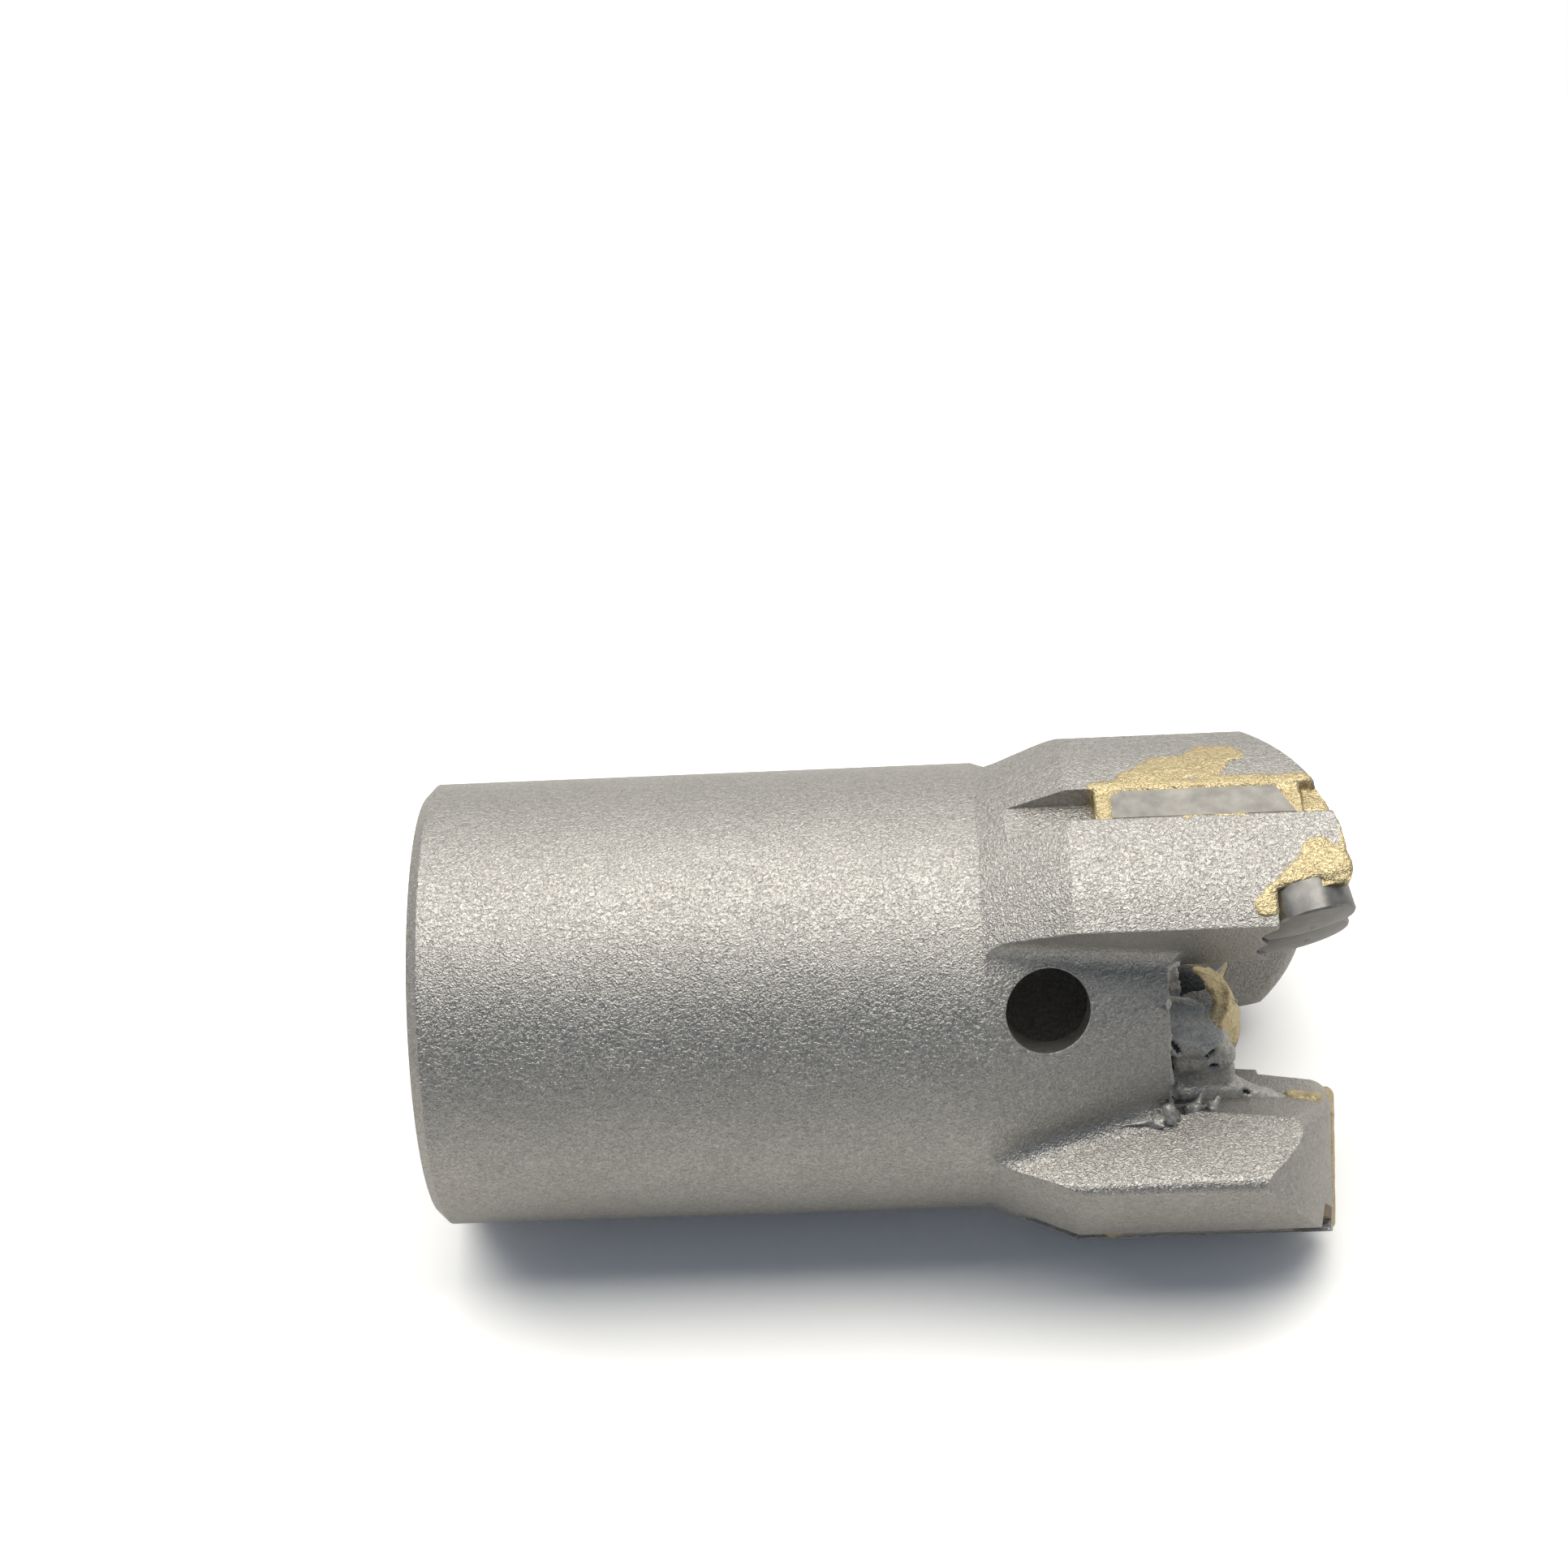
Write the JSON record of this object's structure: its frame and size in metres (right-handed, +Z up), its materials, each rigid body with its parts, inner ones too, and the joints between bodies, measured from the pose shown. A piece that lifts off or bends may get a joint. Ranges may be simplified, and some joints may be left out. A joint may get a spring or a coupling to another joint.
{
  "type": "pdc drill bit",
  "caption": "Steel-body drag bit with concave three-wing crown, brazed diamond cutters, carbide gauge inserts, a welded core plug and a threaded socket in the shank.",
  "frame": {"origin": "centre of the socket mouth, on the bit axis", "axes": "+X along the bit axis from the socket mouth to the cutting face; +Z up as the bit lies, with wing 1 pointing up"},
  "size_m": [0.1311, 0.0749, 0.0698],
  "materials": {
    "steel": "shot-blasted matt steel",
    "diamond": "satin dark grey diamond on ground carbide",
    "carbide": "smooth sintered carbide",
    "braze": "dull blasted braze",
    "weld": "blasted weld metal"
  },
  "bodies": {
    "root": {"bit_body": "steel", "core_plug": "steel", "wing_1_outer_cutter": "diamond", "wing_1_inner_cutter": "diamond", "wing_1_cutter_braze": "braze", "wing_1_gauge_insert": "carbide", "wing_1_gauge_braze": "braze", "wing_2_outer_cutter": "diamond", "wing_2_inner_cutter": "diamond", "wing_2_cutter_braze": "braze", "wing_2_gauge_insert": "carbide", "wing_2_gauge_braze": "braze", "wing_3_outer_cutter": "diamond", "wing_3_inner_cutter": "diamond", "wing_3_cutter_braze": "braze", "wing_3_gauge_insert": "carbide", "wing_3_gauge_braze": "braze", "long_post_cutter": "diamond", "long_post_braze": "braze", "short_post_cutter": "diamond", "short_post_braze": "braze", "bridge_weld": "weld"}
  },
  "joints": []
}
